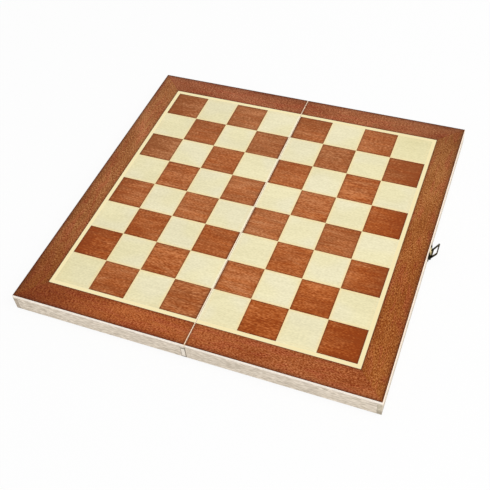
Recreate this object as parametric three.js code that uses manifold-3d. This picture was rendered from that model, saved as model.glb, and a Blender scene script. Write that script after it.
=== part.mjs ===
// Folding chess and backgammon board: two shallow wooden trays joined by two brass hinges.
// It lies open with the chess field up and stands on the rims of the upturned trays.
// Lengths are millimetres, +X to the right, +Y to the back, +Z up. The origin is the middle
// of the fold, on the plane of the rims.
import * as THREE from 'three';
import { mergeVertices } from 'three/addons/utils/BufferGeometryUtils.js';
import Module from 'manifold-3d';

// Chess field and its border
const SQUARE = 35.4;
const SQUARES = 8;
const LINE = 3.8; // light line round the field
const BORDER = 24.1; // mahogany strip
const EDGE = 0.5; // chamfer round the top face, bare wood
const FOLD_EDGE = 0.35; // chamfer along the fold
const FOLD_MARGIN = 1.35; // from the fold edge to where the grid of squares starts
const FOLD_STRIP = 0.5; // light wood between the fold edge and the dark squares, which reach past the grid there
const INLAY_NECK = 0.1; // how far a pocket stays inside its square, so that the light sheet holds together
const INLAY_PLAY = 0.05; // between a dark square and its pocket

// Trays
const WALL = 4.0;
const WALL_HEIGHT = 14.5;
const PANEL = 3.0;
const VENEER = 0.6;
const GLUE = 0.05; // glue line between two pieces of wood
const FOLD_GAP = 0.3; // between the fold walls when the board lies open
const RIM_SPACE = 0.3; // between the rims when the board is shut

// Fold hinges
const HINGE_LENGTH = 30;
const HINGE_INSET = 62; // from the front or back face to the middle of a hinge
const LEAF_THICKNESS = 0.8;
const LEAF_SPACE = 0.3; // between the two leaves when the board lies open
const LEAF_MARGIN = 2.2; // from a leaf's top edge to the top of the fold wall
const KNUCKLES = 5;
const KNUCKLE_GAP = 0.2;
const KNUCKLE_WALL = 0.6;
const KNUCKLE_CLEARANCE = 0.3; // from a knuckle to the wood and to the other leaf
const PIN_RADIUS = 0.5;
const PIN_PLAY = 0.08;
const SCREW_HOLE_RADIUS = 1.1;
const SCREW_INSET = 6; // from a leaf's end to its screw hole
const METAL_FIT = 0.1; // between brass and the wood that it is let into or nailed on

// Latch on the right wall, with its tongue swung open
const LATCH_PLACE = 3.3; // from the middle of the depth to the middle of the latch and of the catch
const TONGUE_ROOT_WIDTH = 12.6; // over its two knuckles
const TONGUE_WIDTH = 14.0; // at the far end of its window
const TONGUE_CORNER = 0.7; // taken off the width between there and the tip
const TONGUE_RAIL = 2.2; // beside the window
const TONGUE_LENGTH = 11.4;
const TONGUE_ANGLE = 59; // degrees above level
const LATCH_SHEET = 0.8;
const LATCH_AXIS_HEIGHT = 5.0;
const LATCH_AXIS_REACH = 1.5; // from the wall to the latch's axis
const LATCH_KNUCKLE = 6.2; // the base plate's knuckle, between the tongue's two
const BASE_WIDTH = 15.8;
const BASE_HEIGHT = 2.8; // the bar above the knuckles
const WING_DROP = 2.0; // from the latch's axis to the bottom of the wings beside the tongue
const WING_SPACE = 0.4; // from the tongue's knuckles to the wings
const WINDOW_START = 2.8; // from the latch's axis
const WINDOW_END = 10.3;
const NAIL_HOLE_RADIUS = 0.5;
const BASE_NAIL_INSET = 1.4; // from the base plate's edges to its nail holes

// Catch on the left wall
const CATCH_BOTTOM = 0.8;
const CATCH_TOP = 11.4;
const CATCH_WIDTH = 11.4;
const CATCH_NAIL_INSET = 2.3;
const KNOB_REACH = 3.0; // from the catch plate's face
const KNOB_NECK_RADIUS = 0.9;
const KNOB_HEAD_RADIUS = 1.3;
const KNOB_HEAD_START = 1.6; // from the catch plate's face
const KNOB_PLAY = 0.8; // from the knob's head to the end of the tongue's window

// Making the solids
const OVERRUN = 1; // how far a cut reaches past the faces that it opens
const KNUCKLE_SIDES = 20;
const PIN_SIDES = 12;
const HOLE_SIDES = 12;

// Places along the width, measured from the middle of the fold to either side
const half = SQUARES / 2;
const foldFace = FOLD_GAP / 2;
const fieldStart = foldFace + FOLD_MARGIN;
const lineStart = fieldStart + half * SQUARE;
const borderStart = lineStart + LINE;
const outerFace = borderStart + BORDER + EDGE;

// Places along the depth, measured from the middle to the front or back
const fieldDepth = half * SQUARE;
const borderDepth = fieldDepth + LINE;
const outerDepth = borderDepth + BORDER + EDGE;

// Heights
const panelBottom = WALL_HEIGHT + GLUE;
const panelTop = panelBottom + PANEL;
const veneerBottom = panelTop + GLUE;
const topFace = veneerBottom + VENEER;

// Knuckles, for the fold hinges and the latch alike
const boreRadius = PIN_RADIUS + PIN_PLAY;
const knuckleRadius = boreRadius + KNUCKLE_WALL;
const knuckleRoom = knuckleRadius + KNUCKLE_CLEARANCE;

// Fold hinges: the axis lies midway between the rims of the shut board
const foldAxisHeight = -RIM_SPACE / 2;
const leafInner = LEAF_SPACE / 2;
const leafOuter = leafInner + LEAF_THICKNESS;
const leafBottom = foldAxisHeight + knuckleRoom;
const leafTop = WALL_HEIGHT - LEAF_MARGIN;
const hingePlaces = { front: HINGE_INSET - outerDepth, back: outerDepth - HINGE_INSET };

// Latch and catch
const plateInner = outerFace + METAL_FIT;
const plateOuter = plateInner + LATCH_SHEET;
const latchAxis = outerFace + LATCH_AXIS_REACH;
const baseBottom = LATCH_AXIS_HEIGHT + knuckleRoom;
const baseTop = baseBottom + BASE_HEIGHT;
const knobFromAxis = WINDOW_END - KNOB_PLAY - KNOB_HEAD_RADIUS;
const knobHeight = knobFromAxis - LATCH_AXIS_HEIGHT - RIM_SPACE;

const wasm = await Module();
wasm.setup();

const woods = { roughness: 0.45, metalness: 0 };
const materials = {
  mahogany: new THREE.MeshStandardMaterial({ color: 0xa0603a, ...woods }),
  darkSquare: new THREE.MeshStandardMaterial({ color: 0xa55f34, ...woods }),
  lightVeneer: new THREE.MeshStandardMaterial({ color: 0xece3bd, ...woods }),
  bareWood: new THREE.MeshStandardMaterial({ color: 0xdccbb0, roughness: 0.7, metalness: 0 }),
  brass: new THREE.MeshStandardMaterial({ color: 0xc9a24e, roughness: 0.3, metalness: 1 }),
};

const object = new THREE.Group();

function addMesh(name, geometry, material, position = [0, 0, 0]) {
  const mesh = new THREE.Mesh(geometry, material);
  mesh.name = name;
  mesh.position.set(...position);
  object.add(mesh);
  return mesh;
}

// The size and centre of the box between two corners, given in any order.
function boxBetween(a, b) {
  const size = a.map((value, axis) => Math.abs(b[axis] - value));
  const centre = a.map((value, axis) => (value + b[axis]) / 2);
  return { size, centre };
}

function addBox(name, material, a, b) {
  const { size, centre } = boxBetween(a, b);
  return addMesh(name, new THREE.BoxGeometry(...size), material, centre);
}

function boxShape(a, b) {
  const { size, centre } = boxBetween(a, b);
  return new THREE.BoxGeometry(...size).translate(...centre);
}

// A closed geometry as a solid that can be cut and joined.
function toSolid(geometry) {
  const bare = geometry.clone();
  bare.deleteAttribute('normal');
  bare.deleteAttribute('uv');
  const merged = mergeVertices(bare);
  return new wasm.Manifold(new wasm.Mesh({
    numProp: 3,
    vertProperties: new Float32Array(merged.attributes.position.array),
    triVerts: new Uint32Array(merged.index.array),
  }));
}

function toGeometry(solid) {
  const cut = solid.getMesh();
  const geometry = new THREE.BufferGeometry();
  geometry.setAttribute('position', new THREE.BufferAttribute(new Float32Array(cut.vertProperties), 3));
  geometry.setIndex(new THREE.BufferAttribute(new Uint32Array(cut.triVerts), 1));
  geometry.computeVertexNormals();
  return geometry;
}

function join(geometries) {
  return geometries.map(toSolid).reduce((whole, next) => whole.add(next));
}

function cut(solid, geometries) {
  return geometries.map(toSolid).reduce((whole, next) => whole.subtract(next), solid);
}

// A flat plate whose outline changes from its lower to its upper face, for chamfered edges.
// Both outlines are lists of [x, y] with as many points.
function taperedPlate(lower, upper, bottom, top) {
  const turn = THREE.ShapeUtils.area(lower.map(([x, y]) => new THREE.Vector2(x, y)));
  const low = turn > 0 ? lower : [...lower].reverse();
  const high = turn > 0 ? upper : [...upper].reverse();
  const count = low.length;
  const points = [...low.map(([x, y]) => [x, y, bottom]), ...high.map(([x, y]) => [x, y, top])];
  const faces = THREE.ShapeUtils.triangulateShape(high.map(([x, y]) => new THREE.Vector2(x, y)), []);
  const triangles = faces.flatMap(([a, b, c]) => [[a + count, b + count, c + count], [c, b, a]]);
  for (let k = 0; k < count; k++) {
    const next = (k + 1) % count;
    triangles.push([k, next, next + count], [k, next + count, k + count]);
  }
  const geometry = new THREE.BufferGeometry();
  geometry.setAttribute('position', new THREE.BufferAttribute(new Float32Array(points.flat()), 3));
  geometry.setIndex(triangles.flat());
  geometry.computeVertexNormals();
  return geometry;
}

// The outline that half an outline makes with its mirror image across the X axis.
function mirrored(points) {
  return [...points, ...points.map(([x, y]) => [x, -y]).reverse()];
}

// A cylinder along Y, its middle at the given place.
function rodAlongY(radius, length, sides, [x, y, z]) {
  return new THREE.CylinderGeometry(radius, radius, length, sides).translate(x, y, z);
}

// A cylinder along X, for a hole through an upright plate.
function rodAlongX(radius, length, sides, [x, y, z]) {
  return new THREE.CylinderGeometry(radius, radius, length, sides)
    .rotateZ(Math.PI / 2)
    .translate(x, y, z);
}

// Tray walls and panel

function foldWallCuts(side) {
  return Object.values(hingePlaces).flatMap((place) => {
    const front = place - HINGE_LENGTH / 2 - METAL_FIT;
    const back = place + HINGE_LENGTH / 2 + METAL_FIT;
    const recess = boxShape(
      [side * (foldFace - OVERRUN), front, -OVERRUN],
      [side * (leafOuter + METAL_FIT), back, leafTop + METAL_FIT],
    );
    const knuckleNotch = boxShape(
      [side * (foldFace - OVERRUN), front, -OVERRUN],
      [side * knuckleRoom, back, foldAxisHeight + knuckleRoom],
    );
    return [recess, knuckleNotch];
  });
}

function addTray(name, side) {
  const { bareWood } = materials;
  const sideInner = outerFace - WALL;
  const foldInner = foldFace + WALL;
  addBox(`${name}_panel`, bareWood, [side * foldFace, -outerDepth, panelBottom], [side * outerFace, outerDepth, panelTop]);
  addBox(`${name}_side_wall`, bareWood, [side * sideInner, -outerDepth, 0], [side * outerFace, outerDepth, WALL_HEIGHT]);
  const foldWall = toSolid(boxShape([side * foldFace, -outerDepth, 0], [side * foldInner, outerDepth, WALL_HEIGHT]));
  addMesh(`${name}_fold_wall`, toGeometry(cut(foldWall, foldWallCuts(side))), bareWood);
  for (const [end, sign] of [['front', -1], ['back', 1]]) {
    addBox(
      `${name}_${end}_wall`,
      bareWood,
      [side * (foldInner + GLUE), sign * (outerDepth - WALL), 0],
      [side * (sideInner - GLUE), sign * outerDepth, WALL_HEIGHT],
    );
  }
}

// Mahogany border, mitred at the outer corners

function addBorder(name, side) {
  const addStrip = (place, lower, upper) => {
    const toSide = ([x, y]) => [side * x, y];
    const strip = taperedPlate(lower.map(toSide), upper.map(toSide), veneerBottom, topFace);
    addMesh(`${name}_border_${place}`, strip, materials.mahogany);
  };
  for (const [place, sign] of [['front', -1], ['back', 1]]) {
    const inner = [[borderStart - GLUE, sign * borderDepth], [foldFace + FOLD_EDGE, sign * borderDepth]];
    const lower = [
      [foldFace, sign * outerDepth],
      [outerFace - GLUE, sign * outerDepth],
      inner[0],
      [foldFace, sign * borderDepth],
    ];
    const upper = [
      [foldFace + FOLD_EDGE, sign * (outerDepth - EDGE)],
      [outerFace - EDGE - GLUE, sign * (outerDepth - EDGE)],
      ...inner,
    ];
    addStrip(place, lower, upper);
  }
  const inner = [[borderStart, borderDepth], [borderStart, -borderDepth]];
  const lower = [[outerFace, -outerDepth], [outerFace, outerDepth], ...inner];
  const upper = [[outerFace - EDGE, EDGE - outerDepth], [outerFace - EDGE, outerDepth - EDGE], ...inner];
  addStrip('side', lower, upper);
}

// Light veneer with a pocket for each dark square. A column is counted from the left edge of
// the whole board and a row from the back, and the back left square is dark.

// How far from the fold a dark square starts and stops, and the y of its middle.
function squarePlace(column, row) {
  const fromFold = column < half ? half - 1 - column : column - half;
  const start = fromFold === 0 ? foldFace + FOLD_STRIP : fieldStart + fromFold * SQUARE;
  const stop = fieldStart + (fromFold + 1) * SQUARE;
  return { start, stop, y: fieldDepth - (row + 1 / 2) * SQUARE };
}

function darkPlaces(side) {
  const places = [];
  for (let column = 0; column < SQUARES; column++) {
    for (let row = 0; row < SQUARES; row++) {
      const onThisSide = (column < half) === (side < 0);
      if (onThisSide && (column + row) % 2 === 0) places.push([column, row]);
    }
  }
  return places;
}

function addChessField(name, side) {
  const depth = borderDepth - GLUE;
  const width = borderStart - GLUE;
  const outline = (start) => [[start, -depth], [width, -depth], [width, depth], [start, depth]];
  const toSide = ([x, y]) => [side * x, y];
  const sheet = toSolid(taperedPlate(
    outline(foldFace).map(toSide),
    outline(foldFace + FOLD_EDGE).map(toSide),
    veneerBottom,
    topFace,
  ));
  const pockets = [];
  for (const [column, row] of darkPlaces(side)) {
    const { start, stop, y } = squarePlace(column, row);
    const corners = (inset, bottom, top) => [
      [side * (start + inset), y - SQUARE / 2 + inset, bottom],
      [side * (stop - inset), y + SQUARE / 2 - inset, top],
    ];
    pockets.push(boxShape(...corners(INLAY_NECK, veneerBottom - OVERRUN, topFace + OVERRUN)));
    // Named as a chess player at the left edge would, with the files running to the front
    const file = String.fromCharCode('a'.charCodeAt(0) + row);
    const name = `dark_square_${file}${column + 1}`;
    addBox(name, materials.darkSquare, ...corners(INLAY_NECK + INLAY_PLAY, veneerBottom, topFace));
  }
  addMesh(`${name}_light_veneer`, toGeometry(cut(sheet, pockets)), materials.lightVeneer);
}

// Fold hinges. The left leaf has the first, third and fifth knuckle, the right leaf the others.

function addHinge(end, place) {
  const { brass } = materials;
  const axis = [0, place, foldAxisHeight];
  const front = place - HINGE_LENGTH / 2;
  const back = place + HINGE_LENGTH / 2;
  const step = (HINGE_LENGTH + KNUCKLE_GAP) / KNUCKLES;
  for (const [name, side] of [['left', -1], ['right', 1]]) {
    const shapes = [boxShape([side * leafInner, front, leafBottom], [side * leafOuter, back, leafTop])];
    for (let k = side < 0 ? 0 : 1; k < KNUCKLES; k += 2) {
      const start = front + k * step;
      const stop = start + step - KNUCKLE_GAP;
      const middle = (start + stop) / 2;
      shapes.push(rodAlongY(knuckleRadius, stop - start, KNUCKLE_SIDES, [0, middle, foldAxisHeight]));
      shapes.push(boxShape(
        [side * leafInner, start, foldAxisHeight + boreRadius],
        [side * leafOuter, stop, leafBottom + OVERRUN],
      ));
    }
    const screwHeight = (leafBottom + leafTop) / 2;
    const holes = [front + SCREW_INSET, back - SCREW_INSET].map((y) => (
      rodAlongX(SCREW_HOLE_RADIUS, LEAF_THICKNESS + 2 * OVERRUN, HOLE_SIDES, [side * (leafInner + leafOuter) / 2, y, screwHeight])
    ));
    const bore = rodAlongY(boreRadius, HINGE_LENGTH + 2 * OVERRUN, PIN_SIDES, axis);
    addMesh(`${end}_hinge_${name}_leaf`, toGeometry(cut(join(shapes), [bore, ...holes])), brass);
  }
  addMesh(`${end}_hinge_pin`, rodAlongY(PIN_RADIUS, HINGE_LENGTH, PIN_SIDES, axis), brass);
}

// Latch: a base plate with one knuckle, a tongue with two, and the pin through all three

function nailHoles(x, halfSpan, height) {
  return [-halfSpan, halfSpan].map((y) => (
    rodAlongX(NAIL_HOLE_RADIUS, LATCH_SHEET + 2 * OVERRUN, HOLE_SIDES, [x, y, height])
  ));
}

// The base plate is a bar over the knuckles, with a wing down each side of the tongue.
function addLatchBase() {
  const axis = [latchAxis, 0, LATCH_AXIS_HEIGHT];
  const shapes = [
    rodAlongY(knuckleRadius, LATCH_KNUCKLE, KNUCKLE_SIDES, axis),
    boxShape(
      [plateInner, -LATCH_KNUCKLE / 2, LATCH_AXIS_HEIGHT],
      [plateOuter, LATCH_KNUCKLE / 2, baseBottom + OVERRUN],
    ),
    boxShape([plateInner, -BASE_WIDTH / 2, baseBottom], [plateOuter, BASE_WIDTH / 2, baseTop]),
  ];
  for (const sign of [-1, 1]) {
    shapes.push(boxShape(
      [plateInner, sign * (TONGUE_ROOT_WIDTH / 2 + WING_SPACE), LATCH_AXIS_HEIGHT - WING_DROP],
      [plateOuter, sign * BASE_WIDTH / 2, baseBottom + OVERRUN],
    ));
  }
  const bore = rodAlongY(boreRadius, LATCH_KNUCKLE + 2 * OVERRUN, PIN_SIDES, axis);
  const holes = nailHoles((plateInner + plateOuter) / 2, BASE_WIDTH / 2 - BASE_NAIL_INSET, baseTop - BASE_NAIL_INSET);
  addMesh('latch_base_plate', toGeometry(cut(join(shapes), [bore, ...holes])), materials.brass, [0, LATCH_PLACE, 0]);
}

// The tongue is made lying along +X from the latch's axis, then turned up to its open place.
function addLatchTongue() {
  const thick = LATCH_SHEET / 2;
  const rootSide = TONGUE_ROOT_WIDTH / 2;
  const farSide = TONGUE_WIDTH / 2;
  const outline = mirrored([
    [knuckleRoom, rootSide],
    [WINDOW_END, farSide],
    [TONGUE_LENGTH, farSide - TONGUE_CORNER],
  ]);
  const windowOutline = mirrored([[WINDOW_START, rootSide - TONGUE_RAIL], [WINDOW_END, farSide - TONGUE_RAIL]]);
  const endKnuckle = (TONGUE_ROOT_WIDTH - LATCH_KNUCKLE) / 2 - KNUCKLE_GAP;
  const shapes = [taperedPlate(outline, outline, -thick, thick)];
  for (const sign of [-1, 1]) {
    const outer = sign * rootSide;
    const inner = outer - sign * endKnuckle;
    shapes.push(rodAlongY(knuckleRadius, endKnuckle, KNUCKLE_SIDES, [0, (outer + inner) / 2, 0]));
    shapes.push(boxShape([boreRadius, outer, -thick], [knuckleRoom + OVERRUN, inner, thick]));
  }
  const bore = rodAlongY(boreRadius, TONGUE_ROOT_WIDTH + 2 * OVERRUN, PIN_SIDES, [0, 0, 0]);
  const window = taperedPlate(windowOutline, windowOutline, -thick - OVERRUN, thick + OVERRUN);
  const tongue = addMesh(
    'latch_tongue',
    toGeometry(cut(join(shapes), [bore, window])),
    materials.brass,
    [latchAxis, LATCH_PLACE, LATCH_AXIS_HEIGHT],
  );
  tongue.rotation.y = -THREE.MathUtils.degToRad(TONGUE_ANGLE);
}

// Catch: a plate on the left wall with the round knob that the tongue's window drops over

function addCatch() {
  const face = -plateOuter;
  const plate = boxShape([-plateInner, -CATCH_WIDTH / 2, CATCH_BOTTOM], [face, CATCH_WIDTH / 2, CATCH_TOP]);
  const profile = [
    [0, -LATCH_SHEET / 2],
    [KNOB_NECK_RADIUS, -LATCH_SHEET / 2],
    [KNOB_NECK_RADIUS, KNOB_HEAD_START],
    [KNOB_HEAD_RADIUS, KNOB_HEAD_START],
    [KNOB_HEAD_RADIUS, (KNOB_HEAD_START + KNOB_REACH) / 2],
    [KNOB_NECK_RADIUS, KNOB_REACH],
    [0, KNOB_REACH],
  ].map(([radius, reach]) => new THREE.Vector2(radius, reach));
  const knob = new THREE.LatheGeometry(profile, PIN_SIDES)
    .rotateZ(Math.PI / 2)
    .translate(face, 0, knobHeight);
  const holes = nailHoles(-(plateInner + plateOuter) / 2, CATCH_WIDTH / 2 - CATCH_NAIL_INSET, CATCH_TOP - CATCH_NAIL_INSET);
  addMesh('catch_plate', toGeometry(cut(join([plate, knob]), holes)), materials.brass, [0, LATCH_PLACE, 0]);
}

for (const [name, side] of [['left', -1], ['right', 1]]) {
  addTray(name, side);
  addBorder(name, side);
  addChessField(name, side);
}
for (const [end, place] of Object.entries(hingePlaces)) addHinge(end, place);
addLatchBase();
addLatchTongue();
addMesh(
  'latch_pin',
  rodAlongY(PIN_RADIUS, TONGUE_ROOT_WIDTH, PIN_SIDES, [0, 0, 0]),
  materials.brass,
  [latchAxis, LATCH_PLACE, LATCH_AXIS_HEIGHT],
);
addCatch();

export default object;
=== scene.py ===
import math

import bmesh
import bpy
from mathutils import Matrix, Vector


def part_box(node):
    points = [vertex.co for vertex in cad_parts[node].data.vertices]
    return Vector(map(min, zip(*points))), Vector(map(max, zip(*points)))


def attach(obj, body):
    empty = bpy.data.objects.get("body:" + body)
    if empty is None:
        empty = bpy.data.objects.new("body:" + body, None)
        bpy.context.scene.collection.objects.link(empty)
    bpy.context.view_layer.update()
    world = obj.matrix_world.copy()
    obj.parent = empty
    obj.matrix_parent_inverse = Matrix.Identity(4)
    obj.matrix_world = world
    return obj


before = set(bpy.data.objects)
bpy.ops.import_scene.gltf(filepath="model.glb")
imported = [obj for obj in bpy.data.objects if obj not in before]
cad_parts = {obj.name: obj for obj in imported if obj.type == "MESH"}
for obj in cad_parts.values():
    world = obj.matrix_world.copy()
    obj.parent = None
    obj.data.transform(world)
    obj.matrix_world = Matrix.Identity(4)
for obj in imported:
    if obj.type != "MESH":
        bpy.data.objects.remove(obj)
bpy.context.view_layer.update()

# Looks of a folding chess and backgammon board that lies open with the chess field up.
# Lengths are in metres unless a name says mm. The frame is the CAD model's: the origin is the
# middle of the fold on the plane of the rims, +X to the latch, +Y to the back, +Z up. A turn is two
# values between which one look goes over into the next, and a swing is by how much, in screen
# values, a tone makes a colour lighter or darker.

MM = 0.001
SIDES = (("left", -1), ("right", 1))
ENDS = (("front", -1), ("back", 1))

# Sizes that the part's source gives to the board, in mm
BOARD_MM = (343.0, 340.0)
SQUARE_MM = 35.4
SQUARES_IN_HALF = 4
FIELD_START_MM = 1.5
LINE_WIDTH_MM = 3.8
WALL_MM = 4.0
RIM_CHAMFER_MM = 0.5
FOLD_FACE_MM = 0.15
FOLD_CHAMFER_MM = 0.35
PANEL_BOTTOM_MM = 14.55
LEAF_FACE_MM = 0.17
PLATE_FACE_MM = 172.4
LATCH_PLACE_MM = 3.3
LATCH_BAR_MM = (6.48, 9.28)

# Places that follow from them
FIELD_DEPTH_MM = SQUARES_IN_HALF * SQUARE_MM
LINE_START_MM = FIELD_START_MM + FIELD_DEPTH_MM
BORDER_START_MM = LINE_START_MM + LINE_WIDTH_MM
BORDER_DEPTH_MM = FIELD_DEPTH_MM + LINE_WIDTH_MM
FOLD_EDGE_MM = FOLD_FACE_MM + FOLD_CHAMFER_MM
FOLD_INNER_MM = FOLD_FACE_MM + WALL_MM
OUTER_EDGE_MM = [size / 2 - RIM_CHAMFER_MM for size in BOARD_MM]
SIDE_INNER_MM, END_INNER_MM = (size / 2 - WALL_MM for size in BOARD_MM)

# Backgammon points, each edged with a string of the other wood
POINTS_IN_ROW = 6
POINT_LENGTH_MM = 133
POINT_THICKNESS_MM = 0.3
POINT_SUNK_MM = 0.02
POINT_STRING_MM = 0.8
POINT_APART_MM = 0.3
POINT_FROM_WALL_MM = 0.2

# Screws of the hinges. The head is a disc with two lands on it, one on each side of the slot.
SCREW_OFFSET_MM = 9.0
SCREW_HEIGHT_MM = 6.815
SCREW_HEAD_MM = 1.02
SCREW_BOTTOM_MM = -0.75
SLOT_FLOOR_MM = -0.3
SLOT_HALF_WIDTH_MM = 0.14
LAND_SUNK_MM = 0.02
LAND_TOP_SHARE = 0.92
LAND_SIDES = 24

# Nails of the latch and of the catch, as (distance from the plate's middle, height over the rims).
# The shank and the dome are profiles of (radius, height over the plate).
LATCH_NAILS_MM = (6.5, 7.88)
CATCH_NAILS_MM = (3.4, 9.1)
NAIL_SIDES = 20
NAIL_SHANK_MM = [(0, -0.5), (0.42, -0.5), (0.42, -0.02)]
NAIL_DOME_MM = [(0.9, -0.02), (0.846, 0.14), (0.63, 0.27), (0.315, 0.34), (0, 0.36)]

# Camera, fitted to the edges of the board and of its squares in the photograph
CAMERA_PLACE = (0.216216, -0.485508, 0.567632)
CAMERA_AZIMUTH = 25.3875
CAMERA_ELEVATION = 48.6744
CAMERA_ROLL = -5.8334
CAMERA_LENS_MM = 57.5829
SENSOR_MM = 36

# Light. The sky is white round the horizon and dimmer overhead, and with the key light it gives a
# level surface about as much light as its colour is written for.
SKY_LOW = 1.0
SKY_HIGH = 0.44
SKY_TURN = (0.35, 0.85)
KEY_PLACE = (1.44, -0.15, 1.90)
KEY_WATTS = 24.5
KEY_SIZE = 1.4
WHITE = (1, 1, 1, 1)
FLOOR_ALBEDO = 0.93
FLOOR_ROUGHNESS = 0.9
FLOOR_GLOW_SHARE = 0.90
FLOOR_HALF_WIDTH = 4.0
FLOOR_HEIGHT_MM = -1.34

# Colours as they look on screen, 0 to 255
RED_SQUARE = (180, 94, 37)
TAN_SQUARE = (181, 115, 70)
POINT_BROWN = (167, 92, 40)
RUDDY = (162, 69, 35)
STAIN = (70, 30, 8)
# Colour that the border turns towards near two of its corners
CORNER_DARK_COLOUR = (70, 24, 0)
CREAM = (240, 231, 192)
COOL_CREAM = (240, 232, 196)
WARM_CREAM = (240, 231, 188)
DEEP_CREAM = (231, 221, 169)
LINE_CREAMS = ((255, 240, 189), (249, 233, 182))
RIM_CREAM = (255, 226, 164)
# Painted highlight: the pale cream of the strip beside the fold
FOLD_HIGHLIGHT_CREAM = (255, 246, 212)
BARE = (223, 210, 192)
LEFT_END = (186, 172, 154)
RIGHT_END = (206, 194, 172)
FOLD_END = (242, 232, 218)
EDGE_PLY = (255, 245, 232)
FOLD_PLY = (255, 240, 219)
BORDER_PLY = (255, 232, 204)
# Dark of the wall joints, and painted shade in the gap between the halves at the fold
JOINT_DARK_AND_GAP_SHADE = (72, 58, 42)
HONEY = (206, 168, 118)
BRASS = (232, 204, 128)
# Painted highlight on the latch's bar
HIGHLIGHT_BRASS = (255, 240, 190)
# Dark of the patina, which on the latch and its base plate is also painted dark reflection
PATINA_AND_DARK_REFLECTION = (22, 17, 5)

# Numbers of the Mix node's sockets when it mixes colours
MIX_FACTOR = 0
MIX_A = 6
MIX_B = 7
MIX_RESULT = 2

NEAR_SHARES = (0.6, 1.4)
SHADE_STOPS = 5
BUMP_STRENGTH = 0.5


def linear(value):
    """A screen value, 0 to 255, as Blender's linear one, by the sRGB formula."""
    share = max(value, 0) / 255
    if share <= 0.04045:
        return share / 12.92
    return ((share + 0.055) / 1.055) ** 2.4


def screen(colour, lighter=0):
    """A screen colour as Blender's linear one, with every channel made lighter by that much."""
    return tuple(linear(value + lighter) for value in colour) + (1,)


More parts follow.
